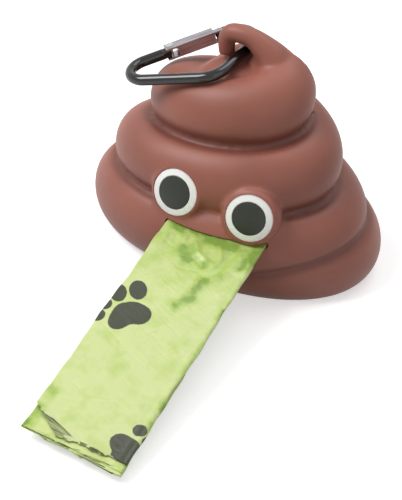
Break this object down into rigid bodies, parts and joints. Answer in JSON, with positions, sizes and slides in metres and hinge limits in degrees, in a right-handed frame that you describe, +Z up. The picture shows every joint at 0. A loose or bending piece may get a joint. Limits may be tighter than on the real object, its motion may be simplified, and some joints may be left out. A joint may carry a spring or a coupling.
{
  "type": "pet waste bag dispenser",
  "caption": "Coiled hollow body that holds a roll of waste bags, feeds them through a slot in its front and hangs from a snap clip.",
  "frame": {"origin": "on the standing plane, on the upright axis of the coiled body", "axes": "+Z up, the face and the bag slot look along -Y, +X is to the right seen from behind the face's viewer"},
  "size_m": [0.1134, 0.1857, 0.0892],
  "materials": {
    "body_vinyl": "soft matte vinyl",
    "eye_white": "satin",
    "pupil_dark": "satin",
    "ring_plastic": "fine texture",
    "lid_plastic": "fine texture",
    "cradle_plastic": "moulded",
    "screw_steel": "zinc plated",
    "spindle_plastic": "moulded",
    "core_board": "kraft paper",
    "roll_film": "wound film",
    "strip_film": "creased thin film",
    "clip_black": "gloss black",
    "gate_metal": "brushed",
    "pin_steel": "bright",
    "spring_steel": "bright wire"
  },
  "bodies": {
    "body": {"shell": "body_vinyl", "eye_white_left": "eye_white", "eye_white_right": "eye_white", "pupil_left": "pupil_dark", "pupil_right": "pupil_dark", "base_ring": "ring_plastic"},
    "cradle": {"roll_cradle": "cradle_plastic", "lid_pivot_screw": "screw_steel", "spindle": "spindle_plastic"},
    "lid": {"base_lid": "lid_plastic"},
    "roll": {"roll_core": "core_board", "bag_roll": "roll_film"},
    "strip": {"bag_strip": "strip_film"},
    "clip": {"clip_hook": "clip_black", "latch_pin": "pin_steel"},
    "gate": {"clip_gate": "gate_metal", "gate_rivet": "pin_steel", "gate_plunger": "pin_steel", "gate_spring": "spring_steel"}
  },
  "joints": [
    {"name": "refill_drop", "type": "slide", "parent": "body", "child": "cradle", "axis": [0, 0, -1], "range_m": [0, 0.05]},
    {"name": "lid_turn", "type": "hinge", "parent": "cradle", "child": "lid", "pos_m": [0.005, 0.005, 0.002], "axis": [0, 0, 1], "range_deg": [0, 35]},
    {"name": "roll_spin", "type": "hinge", "parent": "cradle", "child": "roll", "pos_m": [0.005, 0.007, 0.0192], "axis": [1, 0, 0], "continuous": true},
    {"name": "bag_pull", "type": "slide", "parent": "body", "child": "strip", "axis": [0, -0.9823, -0.1874], "range_m": [0, 0.018]},
    {"name": "clip_swing", "type": "hinge", "parent": "body", "child": "clip", "pos_m": [-0.0064, -0.0004, 0.07915], "axis": [0.1674, 0.9607, 0.2213], "range_deg": [0, 45]},
    {"name": "gate_open", "type": "hinge", "parent": "clip", "child": "gate", "pos_m": [-0.03383, -0.00163, 0.07068], "axis": [0.284, 0.168, -0.944], "range_deg": [0, 17], "stiffness_Nm_per_rad": 0.05, "springref_deg": -11.46}
  ],
  "couplings": [
    {"joint": "roll_spin", "follows": "bag_pull", "rad_per_m": 80.645}
  ]
}
